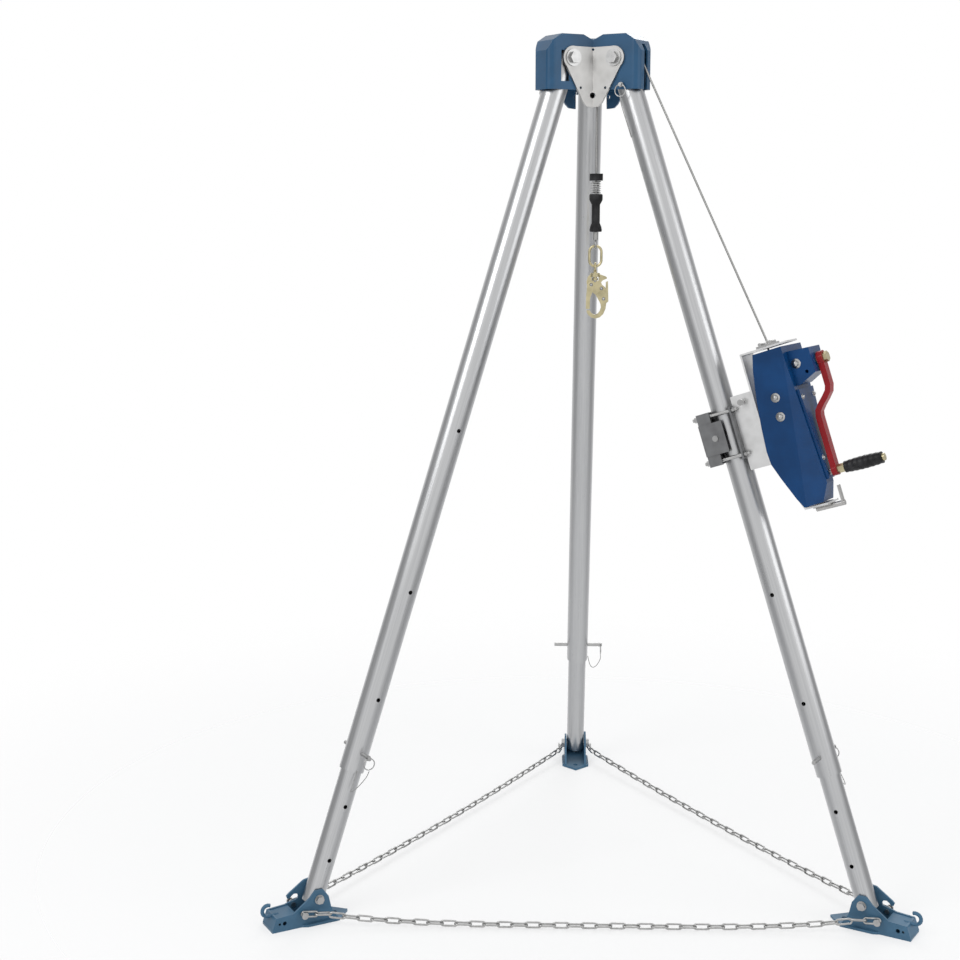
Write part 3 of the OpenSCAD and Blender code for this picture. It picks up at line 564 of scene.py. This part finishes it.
class TRIPOD_OT_chains(bpy.types.Operator):
    """Link the feet with chain, half a span on each side of each foot"""
    bl_idname = "tripod.chains"
    bl_label = "Foot chains"

    def execute(self, context):
        size = context.scene.tripod_sizes
        tree = chain_tree()
        values = {"Pitch": size.pitch, "Wire": size.wire, "Finish": FINISHES["chain_zinc"]}
        for i, name in enumerate(LEGS):
            for side in (-1, 1):
                centres = self.centres(i, side, size)
                label = "chain_%s_%s" % (name, "ccw" if side > 0 else "cw")
                # the links at the foot are made on their own, and the span folds up with the leg
                tail = grow(label + "_end", tree, line("chain", centres[:TAIL_LINKS]), values)
                span = grow(label, tree, line("chain", centres[TAIL_LINKS:]), values)
                for piece in (tail, span):
                    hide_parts("chain_" + name)
                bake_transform(tail)
                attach(span, "lower_leg_" + name)
                start = centres[TAIL_LINKS]
                away = (centres[-1] - start).normalized()
                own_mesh(span)
        return {"FINISHED"}

    def centres(self, i, side, size):
        """Middles of the links of half a chain, which sags from its foot to the middle of the span."""
        pitch, wire = size.pitch, size.wire
        t0 = side * (CHAIN_SEAT + wire / 2)
        end = FOOT_R + CHAIN_OUT - (pitch / 2 - BOLT_SEAT)
        join = Vector((end - pitch / 2 + 0.00015, t0))
        along = Vector((-math.sin(math.pi / 3), side * 0.5))
        across = Vector((0.5, side * math.sin(math.pi / 3)))
        span = -2 * join.dot(along)
        count = 2 * math.ceil((span / (pitch - 0.0002) - 1) / 2) + 1
        sag, curve = (0.023, 4) if (i, side) in ((1, 1), (2, -1)) else (0.014, 2)

        def drop(k):
            return CHAIN_Z - sag * (1 - (1 - 2 * k / count) ** curve)

        out = [radial(i, end, t0, CHAIN_Z)]
        for k in range((count - 1) // 2 + (1 if side > 0 else 0)):
            c = across * join.dot(across) + along * (-span / 2 + (k + 0.5) * span / count)
            out.append(radial(i, c.x, c.y, (drop(k) + drop(k + 1)) / 2))
        return out


class TRIPOD_OT_fasteners(bpy.types.Operator):
    """Set screws on the winch and rivets on the hook"""
    bl_idname = "tripod.fasteners"
    bl_label = "Screws and rivets"

    def execute(self, context):
        tree = fastener_tree()
        out, near, far = leg_axis(2, 1, 0, 0), leg_axis(2, 0, -1, 0), leg_axis(2, 0, 1, 0)
        cover = [(on_leg(2, 0.2027, t, -s), out)
                 for t, s in ((-0.034, 0.85), (0.034, 0.85), (-0.017, 0.99), (0.017, 0.99), (0, 1.026))]
        sides = [(on_leg(2, n, d * 0.060, -s), near if d < 0 else far)
                 for d in (-1, 1) for n, s in ((0.152, 0.836), (0.151, 0.879))]
        boss = [(on_leg(2, 0.209, d * 0.034, -0.777), near if d < 0 else far) for d in (-1, 1)]
        rivets = [(BLOCK + Vector((x, d * 0.0071, z)), Vector((0, d, 0)))
                  for d in (-1, 1) for x, z in ((-0.009, 1.422), (0.015, 1.413), (0.020, 1.389))]
        for name, places, radius, height, count, body in (
            ("cover_screws", cover, 0.0042, 0.004, 6, "upper_leg_right"),
            ("housing_bolts", sides, 0.0072, 0.006, 6, "upper_leg_right"),
            ("boss_bolts", boss, 0.0075, 0.007, 6, "upper_leg_right"),
            ("hook_rivets", rivets, 0.0027, 0.0018, 16, "hook"),
        ):
            values = {"Radius": radius, "Height": height, "Sides": count, "Finish": FINISHES["steel"]}
            piece = grow(name, tree, seats(name, places), values)
            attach(piece, body)
        return {"FINISHED"}


class TRIPOD_OT_stage(bpy.types.Operator):
    """Pale floor, soft studio light and the camera"""
    bl_idname = "tripod.stage"
    bl_label = "Stage"

    def execute(self, context):
        scene = context.scene
        scene.view_settings.view_transform = "Standard"
        cam = bpy.data.cameras.new("view")
        cam.lens = 61.64
        cam.sensor_width = 36
        cam.clip_end = 100
        eye = bpy.data.objects.new("view", cam)
        yaw, pitch = math.radians(-1.626), math.radians(9.758)
        aim = Vector((math.sin(yaw) * math.cos(pitch), math.cos(yaw) * math.cos(pitch), -math.sin(pitch)))
        eye.location = (-0.147, -4.0787, 1.623)
        eye.rotation_euler = aim.to_track_quat("-Z", "Y").to_euler()
        scene.collection.objects.link(eye)
        scene.camera = eye
        self.floor(scene)
        self.sky(scene)
        for name, place, energy, size in LAMPS:
            lamp = bpy.data.lights.new(name, "AREA")
            lamp.energy = energy
            lamp.size = size
            holder = bpy.data.objects.new(name, lamp)
            holder.location = place
            holder.rotation_euler = (Vector((0, 0, 0.9)) - Vector(place)).to_track_quat("-Z", "Y").to_euler()
            scene.collection.objects.link(holder)
        return {"FINISHED"}

    def floor(self, scene):
        """Pale sheet that keeps a soft shadow near the feet and lets the white studio show further out."""
        mesh = bpy.data.meshes.new("floor")
        mesh.from_pydata([(-30, -30, 0), (30, -30, 0), (30, 30, 0), (-30, 30, 0)], [], [(0, 1, 2, 3)])
        f = Finish("pale floor", (0.94, 0.94, 0.94), 0.9)
        away = f.wire("ShaderNodeVectorMath", 1, {"operation": "LENGTH"}, i0=f.place())
        seen = f.wire("ShaderNodeLightPath", "Is Camera Ray")
        gloss = f.wire("ShaderNodeLightPath", "Is Glossy Ray")
        through = f.wire("ShaderNodeLightPath", "Is Transmission Ray")
        clear = f.wire("ShaderNodeBsdfTransparent", 0)
        shown = seen.math("MAXIMUM", seen, gloss.math("MAXIMUM", gloss, through))
        mask = (f.band(away, 0.7, 2.4) * 0.4 + 0.6) * shown
        mixed = f.wire("ShaderNodeMixShader", 0, None, i0=mask, i1=Wire(f, f.shader.outputs[0]), i2=clear)
        f.links.new(mixed.socket, f.nodes["Material Output"].inputs[0])
        mesh.materials.append(f.mat)
        ground = bpy.data.objects.new("floor", mesh)
        scene.collection.objects.link(ground)

    def sky(self, scene):
        """White studio, seen by the eye and in the metal, with softer light from the two sides."""
        world = bpy.data.worlds.new("studio")
        scene.world = world
        world.use_nodes = True
        nodes, links = world.node_tree.nodes, world.node_tree.links

        def add(kind, *feeds, **settings):
            made = nodes.new(kind)
            for key, value in settings.items():
                setattr(made, key, value)
            for slot, feed in zip(made.inputs, feeds):
                if hasattr(feed, "is_output"):
                    links.new(feed, slot)
                elif feed is not None:
                    slot.default_value = feed
            return made.outputs

        ray = add("ShaderNodeLightPath")
        way = add("ShaderNodeSeparateXYZ", add("ShaderNodeTexCoord")["Generated"])
        aside = add("ShaderNodeMath", way[0], operation="ABSOLUTE")
        side = add("ShaderNodeMapRange", aside[0], 0.5, 0.95, 1.0, 0.3, interpolation_type="SMOOTHSTEP")
        glint = add("ShaderNodeMath", ray["Is Glossy Ray"], side[0], operation="MULTIPLY")
        clear = add("ShaderNodeMath", ray["Is Camera Ray"], ray["Is Transmission Ray"], operation="MAXIMUM")
        shown = add("ShaderNodeMath", clear[0], glint[0], operation="MAXIMUM")
        level = add("ShaderNodeMath", side[0], 0.8, operation="MULTIPLY")
        light = add("ShaderNodeBackground", (0.97, 0.98, 1.0, 1), level[0])
        white = add("ShaderNodeBackground", (1, 1, 1, 1), 1.0)
        mixed = add("ShaderNodeMixShader", shown[0], light[0], white[0])
        links.new(mixed[0], nodes["World Output"].inputs[0])


class TRIPOD_PT_panel(bpy.types.Panel):
    """Lists the steps"""
    bl_idname = "TRIPOD_PT_panel"
    bl_label = "Tripod"
    bl_space_type = "VIEW_3D"
    bl_region_type = "UI"
    bl_category = "Tripod"

    def draw(self, context):
        for step in STEPS:
            self.layout.operator(step.bl_idname)


STEPS = (
    TRIPOD_OT_stage, TRIPOD_OT_finishes, TRIPOD_OT_ropes,
    TRIPOD_OT_lanyards, TRIPOD_OT_chains, TRIPOD_OT_fasteners,
)
CLASSES = (TripodSizes, TripodColours) + STEPS + (TRIPOD_PT_panel,)


def register():
    for cls in CLASSES:
        bpy.utils.register_class(cls)
    bpy.types.Scene.tripod_sizes = bpy.props.PointerProperty(type=TripodSizes)
    bpy.types.Scene.tripod_colours = bpy.props.PointerProperty(type=TripodColours)


def unregister():
    del bpy.types.Scene.tripod_colours
    del bpy.types.Scene.tripod_sizes
    for cls in reversed(CLASSES):
        bpy.utils.unregister_class(cls)


def main():
    register()
    bpy.ops.tripod.stage()
    bpy.ops.tripod.finishes()
    bpy.ops.tripod.ropes()
    bpy.ops.tripod.lanyards()
    bpy.ops.tripod.chains()
    bpy.ops.tripod.fasteners()


if __name__ == "__main__":
    main()
